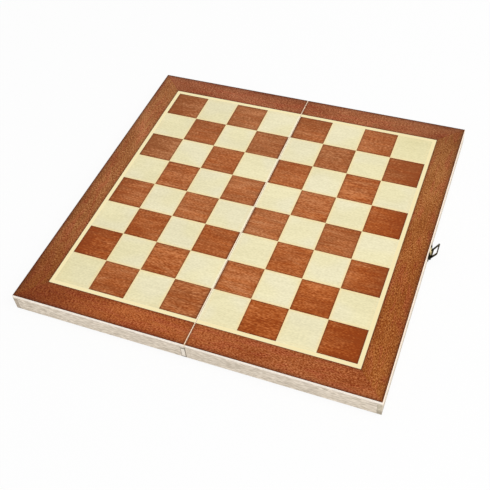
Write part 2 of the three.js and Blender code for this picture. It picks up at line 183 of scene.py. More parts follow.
class Shader:
    """A node material in the making."""

    def __init__(self, name):
        self.material = bpy.data.materials.new(name)
        self.material.use_nodes = True
        self.tree = self.material.node_tree
        self.surface = self.tree.nodes["Principled BSDF"]
        coordinates = self.node("ShaderNodeTexCoord")
        self.place = coordinates.outputs["Object"]
        self.normal = coordinates.outputs["Normal"]

    def node(self, kind, **settings):
        """A new node with its settings."""
        made = self.tree.nodes.new(kind)
        for name, value in settings.items():
            setattr(made, name, value)
        return made

    def feed(self, socket, value):
        """Links a socket to another node's output, or sets it to a plain value."""
        if isinstance(value, bpy.types.NodeSocket):
            self.tree.links.new(value, socket)
        else:
            socket.default_value = value

    def set(self, **values):
        """Sets the surface's own sockets, with underscores for spaces."""
        for name, value in values.items():
            self.feed(self.surface.inputs[name.replace("_", " ")], value)

    def math(self, operation, a, b=0.0, clamp=False):
        """The result of one operation on a and b."""
        made = self.node("ShaderNodeMath", operation=operation, use_clamp=clamp)
        self.feed(made.inputs[0], a)
        self.feed(made.inputs[1], b)
        return made.outputs[0]

    def centred(self, value, weight):
        """A value from 0 to 1, turned into one of that weight round 0."""
        return self.math("MULTIPLY", self.math("SUBTRACT", value, 0.5), weight)

    def parts(self, vector):
        """A vector's x, y and z."""
        made = self.node("ShaderNodeSeparateXYZ")
        self.feed(made.inputs[0], vector)
        return made.outputs[0], made.outputs[1], made.outputs[2]

    def place_mm(self):
        """The place's x, y and z in mm."""
        made = self.node("ShaderNodeVectorMath", operation="SCALE")
        self.feed(made.inputs[0], self.place)
        made.inputs["Scale"].default_value = 1 / MM
        return self.parts(made.outputs[0])

    def spread(self, sizes_mm, shift=(0, 0, 0)):
        """The place, scaled so that one unit is sizes_mm along each axis."""
        made = self.node("ShaderNodeMapping")
        self.feed(made.inputs["Vector"], self.place)
        made.inputs["Location"].default_value = shift
        made.inputs["Scale"].default_value = [1 / (size * MM) for size in sizes_mm]
        return made.outputs[0]

    def noise(self, vector, detail, distortion=0.0):
        """Soft noise from 0 to 1."""
        made = self.node("ShaderNodeTexNoise")
        self.feed(made.inputs["Vector"], vector)
        made.inputs["Scale"].default_value = 1
        made.inputs["Detail"].default_value = detail
        made.inputs["Distortion"].default_value = distortion
        return made.outputs[0]

    def between(self, value, low, high, start=0.0, end=1.0):
        """value from low to high turned into start to end, held at both ends."""
        made = self.node("ShaderNodeMapRange", interpolation_type="SMOOTHSTEP")
        for socket, given in zip(made.inputs, (value, low, high, start, end)):
            self.feed(socket, given)
        return made.outputs[0]

    def fading(self, distance, reach, strength):
        """strength at distance 0, fading out over about the reach."""
        power = self.math("EXPONENT", self.math("MULTIPLY", distance, -1 / reach))
        return self.math("MULTIPLY", power, strength, clamp=True)

    def near(self, value, middle, half_width):
        """1 where a value is within half_width of its middle, fading out beyond."""
        apart = self.math("ABSOLUTE", self.math("SUBTRACT", value, middle))
        low, high = (half_width * share for share in NEAR_SHARES)
        return self.between(apart, low, high, 1.0, 0.0)

    def ramp(self, factor, stops):
        """A colour by factor, from stops of (position, colour)."""
        made = self.node("ShaderNodeValToRGB")
        elements = made.color_ramp.elements
        while len(elements) < len(stops):
            elements.new(0.5)
        for element, (position, colour) in zip(elements, stops):
            element.position = position
            element.color = colour
        self.feed(made.inputs[0], factor)
        return made.outputs[0]

    def shades(self, tone, colour, swing):
        """A colour that gets lighter on every channel alike as the tone goes from 0 to 1."""
        shares = [k / (SHADE_STOPS - 1) for k in range(SHADE_STOPS)]
        return self.ramp(tone, [(share, screen(colour, (2 * share - 1) * swing)) for share in shares])

    def mix(self, factor, a, b):
        """The colour a where the factor is 0, and b where it is 1."""
        made = self.node("ShaderNodeMix", data_type="RGBA")
        self.feed(made.inputs[MIX_FACTOR], factor)
        self.feed(made.inputs[MIX_A], a)
        self.feed(made.inputs[MIX_B], b)
        return made.outputs[MIX_RESULT]

    def darkened(self, colour, share, stain=STAIN):
        """A colour mixed towards a darker one as much as the share says: real stain and patina, and
        also painted shade and painted dark reflection where callers use it for them.
        """
        return self.mix(share, colour, screen(stain))

    def bump(self, height, depth_mm):
        """Relief of the surface."""
        made = self.node("ShaderNodeBump")
        made.inputs["Strength"].default_value = BUMP_STRENGTH
        made.inputs["Distance"].default_value = depth_mm * MM
        self.feed(made.inputs["Height"], height)
        self.feed(self.surface.inputs["Normal"], made.outputs[0])


# Wood. The grain runs along one axis. A layer of noise is (length along the grain in mm, width
# across it in mm, detail, distortion, weight), and the layers add up to a tone round one half.

FIGURED = [(80, 26, 1, 0.6, 0.8), (22, 5, 1, 1.2, 0.5), (44, 1.0, 1, 0.4, 0.35), (1.8, 0.55, 0, 0, 2.5)]
PLAIN = [(50, 16, 2, 0.8, 0.7), (36, 6, 1, 0.9, 0.6), (34, 1.2, 1, 0.5, 0.8), (2.4, 0.6, 0, 0, 1.6)]
PALE = [(90, 26, 2, 0.4, 0.6), (24, 3.0, 1, 0.6, 0.4), (2.4, 1.0, 0, 0, 0.8)]
ROUGH = [(90, 12, 1, 1.2, 0.2), (44, 1.8, 1, 1.0, 0.6), (4.0, 0.8, 0, 0, 1.6)]

# Pores are where their own noise is high
PORE_LENGTH_MM = 3.0
PORE_WIDTH_MM = 0.5
PORE_TURN = (0.58, 0.70)

# Roughness where the tone is low and where it is high, gloss, and depth of the grain's relief
TONE_TURN = (0.2, 0.8)
SATIN_ROUGHNESS = (0.52, 0.38)
PANEL_ROUGHNESS = (0.64, 0.5)
WALL_ROUGHNESS = (0.74, 0.6)
GLOSS = 0.14
CREAM_GLOSS = 0.2
WALL_GLOSS = 0.12
GRAIN_DEPTH_MM = 0.03
CREAM_DEPTH_MM = 0.02
PANEL_DEPTH_MM = 0.04
WALL_DEPTH_MM = 0.05


def along_grain(grain, along, across):
    """Three sizes, of which the one on the grain's axis is another than the rest."""
    return [along if axis == grain else across for axis in "xyz"]


def wood_tone(shader, grain, layers, shift=(0, 0, 0)):
    """The grain's own tone, round one half."""
    tone = 0.5
    for along, across, detail, distortion, weight in layers:
        vector = shader.spread(along_grain(grain, along, across), shift)
        layer = shader.noise(vector, detail, distortion)
        tone = shader.math("ADD", shader.centred(layer, weight), tone)
    return tone


def pores(shader, grain, share, shift=(0, 0, 0)):
    """The share in the pores, short dashes along the grain, and 0 between them."""
    vector = shader.spread(along_grain(grain, PORE_LENGTH_MM, PORE_WIDTH_MM), shift)
    dashes = shader.between(shader.noise(vector, detail=0), *PORE_TURN)
    return shader.math("MULTIPLY", dashes, share)


def finish(shader, colour, tone, gloss, roughness=SATIN_ROUGHNESS, depth_mm=GRAIN_DEPTH_MM):
    """Gives the surface its colour, its roughness by tone, and the grain's relief."""
    shader.set(Base_Color=colour, Specular_IOR_Level=gloss)
    shader.set(Roughness=shader.between(tone, *TONE_TURN, *roughness))
    shader.bump(tone, depth_mm)
    return shader.material


# Where a place is on the board

CORNER_REACH_MM = (5, 115)
UP_TURN = (0.85, 0.95)
END_TURN = (0.3, 0.7)


def from_middle(shader):
    """How far in mm a place is from the middle of the board, to the side and to the end."""
    x, y, _ = shader.place_mm()
    return shader.math("ABSOLUTE", x), shader.math("ABSOLUTE", y)


def from_grid(shader, value, start_mm):
    """How far in mm a coordinate is from the nearest line between two squares."""
    share = shader.math("DIVIDE", shader.math("SUBTRACT", value, start_mm), SQUARE_MM)
    return shader.math("MULTIPLY", shader.math("PINGPONG", share, 0.5), SQUARE_MM)


def from_square_edge(shader):
    """How far in mm a place on the field is from the nearest edge of a square."""
    x, y, _ = shader.place_mm()
    across = from_grid(shader, shader.math("ABSOLUTE", x), FIELD_START_MM)
    along = from_grid(shader, y, 0)
    return shader.math("MINIMUM", across, along)


def from_border_edge(shader):
    """How far in mm a place on the border is from the light line, the outer rim and the fold."""
    x, y = from_middle(shader)
    line_x = shader.math("SUBTRACT", x, BORDER_START_MM)
    line_y = shader.math("SUBTRACT", y, BORDER_DEPTH_MM)
    outer_x = shader.math("SUBTRACT", OUTER_EDGE_MM[0], x)
    outer_y = shader.math("SUBTRACT", OUTER_EDGE_MM[1], y)
    by_line = shader.math("MAXIMUM", line_x, line_y)
    by_rim = shader.math("MINIMUM", outer_x, outer_y)
    return by_line, by_rim, shader.math("SUBTRACT", x, FOLD_EDGE_MM)


def square_number(shader, seed):
    """A random number from 0 to 1 for each square, the same all over it."""
    x, y, _ = shader.place_mm()
    from_fold = shader.math("SUBTRACT", shader.math("ABSOLUTE", x), FIELD_START_MM)
    from_fold = shader.math("MAXIMUM", from_fold, 0.0)
    cell = shader.node("ShaderNodeCombineXYZ")
    for socket, value in zip(cell.inputs, (from_fold, y)):
        shader.feed(socket, shader.math("FLOOR", shader.math("DIVIDE", value, SQUARE_MM)))
    on_right = shader.math("GREATER_THAN", x, 0.0)
    shader.feed(cell.inputs[2], shader.math("ADD", on_right, seed))
    made = shader.node("ShaderNodeTexWhiteNoise", noise_dimensions="3D")
    shader.feed(made.inputs["Vector"], cell.outputs[0])
    return made.outputs["Value"]


def by_corner(shader, corner_x_mm, corner_y_mm, strength):
    """strength near a corner of the board, and 0 far from it."""
    x, y, _ = shader.place_mm()
    over_x = shader.math("POWER", shader.math("SUBTRACT", x, corner_x_mm), 2.0)
    over_y = shader.math("POWER", shader.math("SUBTRACT", y, corner_y_mm), 2.0)
    apart = shader.math("SQRT", shader.math("ADD", over_x, over_y))
    return shader.between(apart, *CORNER_REACH_MM, strength, 0.0)


def far_from_middle(shader, falls):
    """0 in the middle of the board, and 1 at either reach. A fall is (reach in mm, power)."""
    total = 0.0
    for value, (reach_mm, power) in zip(from_middle(shader), falls):
        share = shader.math("DIVIDE", value, reach_mm)
        total = shader.math("ADD", shader.math("POWER", share, power), total)
    return total


def facing_up(shader):
    """1 where the surface faces up, and 0 on chamfers and sides."""
    return shader.between(shader.parts(shader.normal)[2], *UP_TURN)


def facing_ends(shader):
    """1 where the surface faces to the front or back of the board, and 0 elsewhere."""
    return shader.between(shader.math("ABSOLUTE", shader.parts(shader.normal)[1]), *END_TURN)


# Border. The browns of a strip turn from one to the other between two places along its grain, and
# its shift moves the noise, so that no two strips have the same grain. Stain that gathers at an
# edge is (reach in mm, strength), and darkening towards a corner is (x in mm, y in mm, strength).
# A chamfer's level is (middle, half width) of how far its normal points up. The chamfers of the
# back and left borders are darker with painted shade.

BORDERS = {
    "front": {
        "grain": "x",
        "browns": ((165, 81, 28), (166, 88, 40)),
        "turn_mm": (-60, 100),
        "shift": (1.7, 0.4, 0),
        "edge": EDGE_PLY,
        "rim_stain": (1.7, 1.0),
    },
    "back": {
        "grain": "x",
        "browns": ((162, 91, 52), (162, 92, 48)),
        "turn_mm": (-60, 100),
        "shift": (5.2, 3.1, 0),
        # Chamfer colour darkened with painted shade, on a chamfer that faces away
        "edge": (232, 188, 168),
        "rim_stain": (2.4, 1.0),
    },
    "left": {
        "grain": "y",
        "browns": ((163, 87, 26), (161, 97, 46)),
        "turn_mm": (-160, -60),
        "shift": (2.9, 8.4, 0),
        # Chamfer colour darkened with painted shade, on a chamfer that faces away
        "edge": (240, 198, 160),
        "rim_stain": (2.2, 1.0),
    },
    "right": {
        "grain": "y",
        "browns": ((161, 89, 31), (161, 96, 40)),
        "turn_mm": (-60, 100),
        "shift": (6.1, 4.7, 0),
        "edge": (252, 228, 206),
        "rim_stain": (1.7, 1.0),
    },
}
BORDER_SWING = 37
BORDER_PORE_SHARE = 0.2
RUDDY_LENGTH_MM = 26
RUDDY_WIDTH_MM = 4.5
RUDDY_SHIFT = 3.7
RUDDY_TURN = (0.46, 0.66)
RUDDY_SHARE = 0.42
LINE_STAIN = (1.1, 0.8)
FOLD_STAIN = (1.2, 0.55)
CORNER_DARKENINGS = ((-171, -170, 0.42), (171, 170, 0.28))
AT_FOLD_MM = (0.6, 1.2)
CHAMFER_LEVEL = (0.7, 0.2)


def with_ruddy_patches(shader, colour, tone, grain, shift):
    """The colour with redder patches in it, longer along the grain."""
    sizes_mm = along_grain(grain, RUDDY_LENGTH_MM, RUDDY_WIDTH_MM)
    vector = shader.spread(sizes_mm, (shift[1], shift[0], RUDDY_SHIFT))
    patch = shader.noise(vector, detail=1, distortion=0.8)
    share = shader.between(patch, *RUDDY_TURN, 0.0, RUDDY_SHARE)
    return shader.mix(share, colour, shader.shades(tone, RUDDY, BORDER_SWING))


def on_chamfer(shader, at_fold):
    """1 on the chamfers along the outer rim and along the fold, and 0 elsewhere."""
    level = shader.parts(shader.normal)[2]
    sloping = shader.math("MAXIMUM", shader.near(level, *CHAMFER_LEVEL), at_fold)
    return shader.math("MULTIPLY", sloping, shader.math("SUBTRACT", 1.0, facing_up(shader)))


def border_wood(name, grain, browns, turn_mm, shift, edge, rim_stain):
    """Red-brown veneer with stain at its edges, darker towards two corners of the board, with bare
    chamfers that carry painted shade on the back and left.
    """
    shader = Shader(name)
    tone = wood_tone(shader, grain, FIGURED, shift)
    x, y, _ = shader.place_mm()
    first, last = (shader.shades(tone, brown, BORDER_SWING) for brown in browns)
    colour = shader.mix(shader.between(x if grain == "x" else y, *turn_mm), first, last)
    colour = with_ruddy_patches(shader, colour, tone, grain, shift)
    colour = shader.darkened(colour, pores(shader, grain, BORDER_PORE_SHARE, shift))
    # Darker towards two corners of the board
    for corner in CORNER_DARKENINGS:
        colour = shader.darkened(colour, by_corner(shader, *corner), CORNER_DARK_COLOUR)
    for distance, stain in zip(from_border_edge(shader), (LINE_STAIN, rim_stain, FOLD_STAIN)):
        colour = shader.darkened(colour, shader.fading(distance, *stain))
    at_fold = shader.between(shader.math("ABSOLUTE", x), *AT_FOLD_MM, 1.0, 0.0)
    chamfer = shader.mix(at_fold, screen(edge), screen(BORDER_PLY))
    colour = shader.mix(on_chamfer(shader, at_fold), colour, chamfer)
    return finish(shader, colour, tone, GLOSS)


# Dark squares. Each has a brightness and a hue of its own, the whole field gets darker to its sides
# and more tan to the back left, and streaks of either hue run along the grain.

BRIGHTNESS_SEED = 3.0
HUE_SEED = 9.0
SQUARE_SWING = 34
SQUARE_BRIGHTNESS = 0.24
SQUARE_HUE = 0.7
SQUARE_PORE_SHARE = 0.15
SQUARE_EDGE_STAIN = (0.9, 0.8)
SQUARE_FALLS = ((154, 6.0), (330, 2.0))
SQUARES_APART = 0.7
BACK_LEFT_SHARES = (0.38, 0.62)
BACK_LEFT_REACH_MM = 240
TAN_TURN = (-0.4, 1.1)
STREAK_MM = (22, 4.5, 4.5)
STREAK_SHIFT = (3.1, 7.7, 0)
STREAK_HUE = 1.2


def tan_share(shader):
    """How tan a square is, by its place on the board and by a random number of its own."""
    x, y, _ = shader.place_mm()
    to_left = shader.math("MULTIPLY", x, BACK_LEFT_SHARES[0])
    to_back_left = shader.math("SUBTRACT", shader.math("MULTIPLY", y, BACK_LEFT_SHARES[1]), to_left)
    own_hue = shader.math("MULTIPLY", square_number(shader, HUE_SEED), SQUARE_HUE)
    return shader.math("ADD", shader.math("DIVIDE", to_back_left, BACK_LEFT_REACH_MM), own_hue)


def move_place(shader, number):
    """Moves the place by a square's number, so that each square shows another part of the noise."""
    offset = shader.node("ShaderNodeCombineXYZ")
    shader.feed(offset.inputs[2], shader.math("MULTIPLY", number, SQUARES_APART))
    moved = shader.node("ShaderNodeVectorMath", operation="ADD")
    shader.feed(moved.inputs[0], shader.place)
    shader.feed(moved.inputs[1], offset.outputs[0])
    shader.place = moved.outputs[0]


def square_wood(name):
    """The squares' red-brown veneer, each square cut from another place of the sheet."""
    shader = Shader(name)
    number = square_number(shader, BRIGHTNESS_SEED)
    edge = from_square_edge(shader)
    far = far_from_middle(shader, SQUARE_FALLS)
    tan = tan_share(shader)
    move_place(shader, number)
    streaks = shader.noise(shader.spread(STREAK_MM, STREAK_SHIFT), detail=1, distortion=0.8)
    tan = shader.math("ADD", shader.centred(streaks, STREAK_HUE), tan)
    tone = shader.math("SUBTRACT", wood_tone(shader, "x", PLAIN), far)
    tone = shader.math("ADD", tone, shader.centred(number, SQUARE_BRIGHTNESS))
    red, brown = (shader.shades(tone, colour, SQUARE_SWING) for colour in (RED_SQUARE, TAN_SQUARE))
    colour = shader.mix(shader.between(tan, *TAN_TURN), red, brown)
    colour = shader.darkened(colour, pores(shader, "x", SQUARE_PORE_SHARE))
    colour = shader.darkened(colour, shader.fading(edge, *SQUARE_EDGE_STAIN))
    return finish(shader, colour, tone, GLOSS)


# Light squares and light line. The cream is deeper at two corners and far from the middle. The rims
# of the squares and the line are paler or warmer, and the strip beside the fold is a painted highlight.
# A corner is (x in mm, y in mm, strength), and the rim is (reach in mm, strength).

CREAM_SWING = 16
CREAM_PATCH_MM = (30, 24, 24)
CREAM_PATCH_TURN = (0.36, 0.64)
CREAM_FALLS = ((200, 2.0), (240, 2.0))
CREAM_FALL_SHARE = 0.35
CREAM_CORNERS = ((143, 142, 0.75), (-143, -142, 0.5))
ON_LINE_MM = (-0.2, 0.2)
LINE_SHARE = 0.95
LINE_TURN_MM = (-100, 150)
CREAM_RIM = (1.1, 0.9)
CREAM_RIM_FROM_MM = (0.8, 2.0)
# Painted highlight on the strip beside the fold: where it turns off, and its share
FOLD_HIGHLIGHT_MM = (-0.3, 0.1)
FOLD_HIGHLIGHT_SHARE = 0.95


def cream_field(shader, tone):
    """The colour of the light squares away from their edges."""
    patch = shader.noise(shader.spread(CREAM_PATCH_MM), detail=0)
    creams = (COOL_CREAM, WARM_CREAM, DEEP_CREAM)
    cool, warm, deep = (shader.shades(tone, cream, CREAM_SWING) for cream in creams)
    far = shader.math("MULTIPLY", far_from_middle(shader, CREAM_FALLS), CREAM_FALL_SHARE)
    for corner in CREAM_CORNERS:
        far = shader.math("MAXIMUM", far, by_corner(shader, *corner))
    return shader.mix(far, shader.mix(shader.between(patch, *CREAM_PATCH_TURN), cool, warm), deep)


def cream_wood(name):
    """Pale cream veneer: the light squares and the line round the field."""
    shader = Shader(name)
    tone = wood_tone(shader, "x", PALE)
    x, _, _ = shader.place_mm()
    to_side, to_end = from_middle(shader)
    past_side = shader.math("SUBTRACT", to_side, LINE_START_MM)
    past_end = shader.math("SUBTRACT", to_end, FIELD_DEPTH_MM)
    outside = shader.math("MAXIMUM", past_side, past_end)
    from_fold = shader.math("SUBTRACT", to_side, FIELD_START_MM)
    inside = shader.math("MINIMUM", shader.math("MULTIPLY", outside, -1.0), from_fold)
    by_rim = shader.fading(from_square_edge(shader), *CREAM_RIM)
    by_rim = shader.math("MULTIPLY", by_rim, shader.between(inside, *CREAM_RIM_FROM_MM))
    # Painted highlight on the strip beside the fold, which makes the fold line look brighter
    fold_highlight = shader.between(from_fold, *FOLD_HIGHLIGHT_MM, FOLD_HIGHLIGHT_SHARE, 0.0)
    on_line = shader.between(outside, *ON_LINE_MM, 0.0, LINE_SHARE)
    line = shader.mix(shader.between(x, *LINE_TURN_MM), *(screen(cream) for cream in LINE_CREAMS))
    colour = shader.mix(by_rim, cream_field(shader, tone), screen(RIM_CREAM))
    colour = shader.mix(fold_highlight, colour, screen(FOLD_HIGHLIGHT_CREAM))
    colour = shader.mix(on_line, colour, line)
    colour = shader.mix(facing_up(shader), screen(FOLD_PLY), colour)
    return finish(shader, colour, tone, CREAM_GLOSS, depth_mm=CREAM_DEPTH_MM)


# Walls and panels. An entry of the joints is (how dark it is, its places), and a place is (coordinate,
# middle in mm, half width in mm). Most entries are joints of the walls, and two darken the bottom of
# the post and of the right corner. The post is the end of the left fold wall. The gap at the fold is
# painted with shade.

POST = ("x", -2.2, 1.9)
JOINTS = (
    (0.4, [("x", -FOLD_INNER_MM, 0.45)]),
    (0.9, [("z", 12.8, 0.7), POST]),
    # Darker towards the bottom of the post
    (0.65, [("z", 0.4, 0.9), POST]),
    (0.2, [("side", SIDE_INNER_MM, 0.3)]),
    # Darker towards the bottom of the right corner
    (0.35, [("x", 170, 2.6), ("z", 1.0, 4.0)]),
)
# Painted shade in the gap at the fold: where it lies across x (middle, half width in mm), and its share
FOLD_GAP = (0, 0.42)
FOLD_GAP_SHADE_SHARE = 0.85
WALL_SWING = 26
WALL_SHIFTS = {"x": (0, 0, 0), "y": (7.1, 2.3, 0)}
END_GRAIN_TURN = (0.6, 0.8)
END_GRAIN_MM = (2.2, 2.2, 1.0)
END_SWING = 50
LEFT_POST_SWING = 20
RIGHT_POST_SWING = 30
AT_MIDDLE_MM = (-0.1, 0.1)
OUTER_ENDS_MM = (60, 80)
PANEL_SHIFT = (3.3, 0, 0)
FACE_PLY_MM = (15.2, 16.4)
FACE_PLY_SWING = 10
# Painted shade on the panel's lower plies in the gap at the fold: where it lies across x, and its share
PANEL_GAP = (0, 0.3)
PANEL_GAP_SHADE_SHARE = 0.6
HONEY_SWING = 30
FACING_DOWN = (-0.95, -0.85)


def end_grain(shader, shift):
    """The sawn ends of the walls: darker at the outer corners, and pale beside the fold."""
    x, _, _ = shader.place_mm()
    on_right = shader.between(x, *AT_MIDDLE_MM)
    rings = shader.noise(shader.spread(END_GRAIN_MM, shift), detail=2, distortion=0.8)
    left, right = (shader.shades(rings, colour, END_SWING) for colour in (LEFT_END, RIGHT_END))
    left_post = shader.shades(rings, FOLD_END, LEFT_POST_SWING)
    right_post = shader.shades(rings, BARE, RIGHT_POST_SWING)
    at_outer_ends = shader.between(shader.math("ABSOLUTE", x), *OUTER_ENDS_MM)
    posts = shader.mix(on_right, left_post, right_post)
    return shader.mix(at_outer_ends, posts, shader.mix(on_right, left, right))


def joints_and_gap_shade(shader):
    """How dark the joints of the walls are, seen from the front or back, with painted shade in the gap
    at the fold.
    """
    x, _, z = shader.place_mm()
    values = {"x": x, "z": z, "side": shader.math("ABSOLUTE", x)}
    # Painted shade in the gap at the fold, on the faces seen from the front or back
    painted_gap_shade = shader.math("MULTIPLY", shader.near(x, *FOLD_GAP), facing_ends(shader))
    dark = shader.math("MULTIPLY", painted_gap_shade, FOLD_GAP_SHADE_SHARE)
    for share, places in JOINTS:
        joint = 1.0
        for coordinate, middle, half_width in places:
            joint = shader.math("MULTIPLY", joint, shader.near(values[coordinate], middle, half_width))
        dark = shader.math("MAXIMUM", dark, shader.math("MULTIPLY", joint, share))
    return dark


def wall_wood(name, grain):
    """Unstained pale wood with a wavy grain, darker where the grain ends and at the glued joints, with
    painted shade in the gap at the fold.
    """
    shader = Shader(name)
    shift = WALL_SHIFTS[grain]
    tone = wood_tone(shader, grain, ROUGH, shift)
    colour = shader.shades(tone, BARE, WALL_SWING)
    to_end = shader.math("ABSOLUTE", shader.parts(shader.normal)["xyz".index(grain)])
    colour = shader.mix(shader.between(to_end, *END_GRAIN_TURN), colour, end_grain(shader, shift))
    # Dark joints, and painted shade in the gap at the fold
    colour = shader.darkened(colour, joints_and_gap_shade(shader), JOINT_DARK_AND_GAP_SHADE)
    return finish(shader, colour, tone, WALL_GLOSS, WALL_ROUGHNESS, WALL_DEPTH_MM)


def panel_wood(name):
    """Plywood panel: a pale face ply at its edge with painted shade under it in the gap at the fold,
    and honey varnish inside the tray.
    """
    shader = Shader(name)
    tone = wood_tone(shader, "x", ROUGH, PANEL_SHIFT)
    x, _, z = shader.place_mm()
    face_ply = shader.between(z, *FACE_PLY_MM)
    edge = shader.shades(tone, EDGE_PLY, FACE_PLY_SWING)
    colour = shader.mix(face_ply, shader.shades(tone, BARE, WALL_SWING), edge)
    # Painted shade in the gap at the fold, below the face ply, on faces seen from the front or back
    under_face = shader.math("SUBTRACT", PANEL_GAP_SHADE_SHARE, face_ply)
    painted_gap_shade = shader.math("MULTIPLY", shader.near(x, *PANEL_GAP), under_face)
    painted_gap_shade = shader.math("MULTIPLY", painted_gap_shade, facing_ends(shader))
    colour = shader.darkened(colour, shader.math("MAXIMUM", painted_gap_shade, 0.0), JOINT_DARK_AND_GAP_SHADE)
    inside = shader.between(shader.parts(shader.normal)[2], *FACING_DOWN, 1.0, 0.0)
    colour = shader.mix(inside, colour, shader.shades(tone, HONEY, HONEY_SWING))
    return finish(shader, colour, tone, GLOSS, PANEL_ROUGHNESS, PANEL_DEPTH_MM)


# Backgammon points

INLAY_SHIFT = (4.4, 1.2, 0)
INLAY_PORE_SHARE = 0.15
BROWN_POINT_SWING = 44


def inlay_wood(name, colour, layers, swing):
    """Wood of the backgammon points, with the grain along them."""
    shader = Shader(name)
    tone = wood_tone(shader, "y", layers, INLAY_SHIFT)
    colour = shader.darkened(shader.shades(tone, colour, swing), pores(shader, "y", INLAY_PORE_SHARE))
    return finish(shader, colour, tone, GLOSS)


# Brass. The shares are of patina, where its noise is low and where it is high. On the latch and its
# base plate the patina is also painted dark reflection.

LATCH_ROUGHNESS = 0.26
# Patina on the latch and its base plate, which is also painted dark reflection
LATCH_PATINA_AND_REFLECTION_SHARES = (1.0, 0.95)
BASE_PATINA_AND_REFLECTION_SHARES = (1.0, 0.94)
HINGE_ROUGHNESS = 0.30
HINGE_SHARES = (0.35, 0.0)
SCREW_ROUGHNESS = 0.34
SCREW_SHARES = (0.8, 0.45)
CLOUD_MM = (2.6, 2.6, 2.6)
SCRATCH_MM = (2.0, 0.12, 2.0)
PATINA_TURN = (0.40, 0.62)
ROUGHNESS_TURN = (0.3, 0.7)
ROUGHER = 0.14
# Painted highlight on the latch's bar: how metallic it stays, and where it lies
HIGHLIGHT_METAL_SHARE = 0.1
BRASS_GLOSS = 0.12
BRASS_DEPTH_MM = 0.01
HIGHLIGHT_RIGHT_MM = 1.0
HIGHLIGHT_HALF_WIDTH_MM = 2.9
HIGHLIGHT_OVER_MM = 0.6


def brass(name, roughness, patina_shares, highlight=None):
    """Thin brass sheet under a dark patina, which on the latch is also painted dark reflection, and
    which leaves some patches and, where it is given, one painted highlight.
    """
    shader = Shader(name)
    cloud = shader.noise(shader.spread(CLOUD_MM), detail=2, distortion=0.4)
    scratches = shader.noise(shader.spread(SCRATCH_MM), detail=1)
    dark = shader.between(cloud, *PATINA_TURN, *patina_shares)
    colour = shader.darkened(screen(BRASS), dark, PATINA_AND_DARK_REFLECTION)
    bare = shader.math("SUBTRACT", 1.0, dark)
    # Painted highlight: a pale, less metallic patch where one is given
    if highlight:
        bright = highlight(shader)
        colour = shader.mix(bright, colour, screen(HIGHLIGHT_BRASS))
        metal = shader.between(bright, 0, 1, 1.0, HIGHLIGHT_METAL_SHARE)
        bare = shader.math("MULTIPLY", bare, metal)
    shader.set(Base_Color=colour, Metallic=bare, Specular_IOR_Level=BRASS_GLOSS)
    shader.set(Roughness=shader.between(cloud, *ROUGHNESS_TURN, roughness + ROUGHER, roughness))
    shader.bump(shader.math("ADD", scratches, cloud), BRASS_DEPTH_MM)
    return shader.material


def highlight_on_latch_bar(shader):
    """1 on the middle of the latch's bar, where a pale, less metallic patch is painted as a highlight.
    """
    _, y, z = shader.place_mm()
    low, high = LATCH_BAR_MM
    on_bar = shader.near(z, (low + high) / 2, (high - low) / 2 + HIGHLIGHT_OVER_MM)
    highlight_span = shader.near(y, LATCH_PLACE_MM + HIGHLIGHT_RIGHT_MM, HIGHLIGHT_HALF_WIDTH_MM)
    return shader.math("MULTIPLY", on_bar, highlight_span)


# Camera, floor and light

def place_object(name, data, place, turn):
    made = bpy.data.objects.new(name, data)
    made.matrix_world = Matrix.Translation(place) @ turn
    bpy.context.scene.collection.objects.link(made)
    return made


def add_camera():
    data = bpy.data.cameras.new("camera")
    data.lens = CAMERA_LENS_MM
    data.sensor_width = SENSOR_MM
    turn = (
        Matrix.Rotation(math.radians(CAMERA_AZIMUTH), 4, "Z")
        @ Matrix.Rotation(math.radians(90 - CAMERA_ELEVATION), 4, "X")
        @ Matrix.Rotation(math.radians(CAMERA_ROLL), 4, "Z")
    )
    bpy.context.scene.camera = place_object("camera", data, CAMERA_PLACE, turn)


def add_key_light():
    data = bpy.data.lights.new("key", "AREA")
    data.energy = KEY_WATTS
    data.size = KEY_SIZE
    turn = (-Vector(KEY_PLACE)).to_track_quat("-Z", "Y").to_matrix().to_4x4()
    place_object("key", data, KEY_PLACE, turn)


def make_sky():
    """A white sky, whose strength goes from SKY_LOW at the horizon to SKY_HIGH overhead."""
    world = bpy.data.worlds.new("studio")
    world.use_nodes = True
    tree = world.node_tree
    background = tree.nodes["Background"]
    background.inputs["Color"].default_value = WHITE
    direction = tree.nodes.new("ShaderNodeTexCoord")
    parts = tree.nodes.new("ShaderNodeSeparateXYZ")
    height = tree.nodes.new("ShaderNodeMapRange")
    height.interpolation_type = "SMOOTHSTEP"
    for socket, value in zip(list(height.inputs)[1:], (*SKY_TURN, SKY_LOW, SKY_HIGH)):
        socket.default_value = value
    tree.links.new(direction.outputs["Generated"], parts.inputs[0])
    tree.links.new(parts.outputs[2], height.inputs[0])
    tree.links.new(height.outputs[0], background.inputs["Strength"])
    bpy.context.scene.world = world


def seen_directly(shader):
    """1 for what the camera sees straight, in gloss or through glass, and 0 for other light."""
    path = shader.node("ShaderNodeLightPath")
    total = path.outputs["Is Camera Ray"]
    for name in ("Is Glossy Ray", "Is Transmission Ray"):
        total = shader.math("ADD", total, path.outputs[name], clamp=True)
    return total


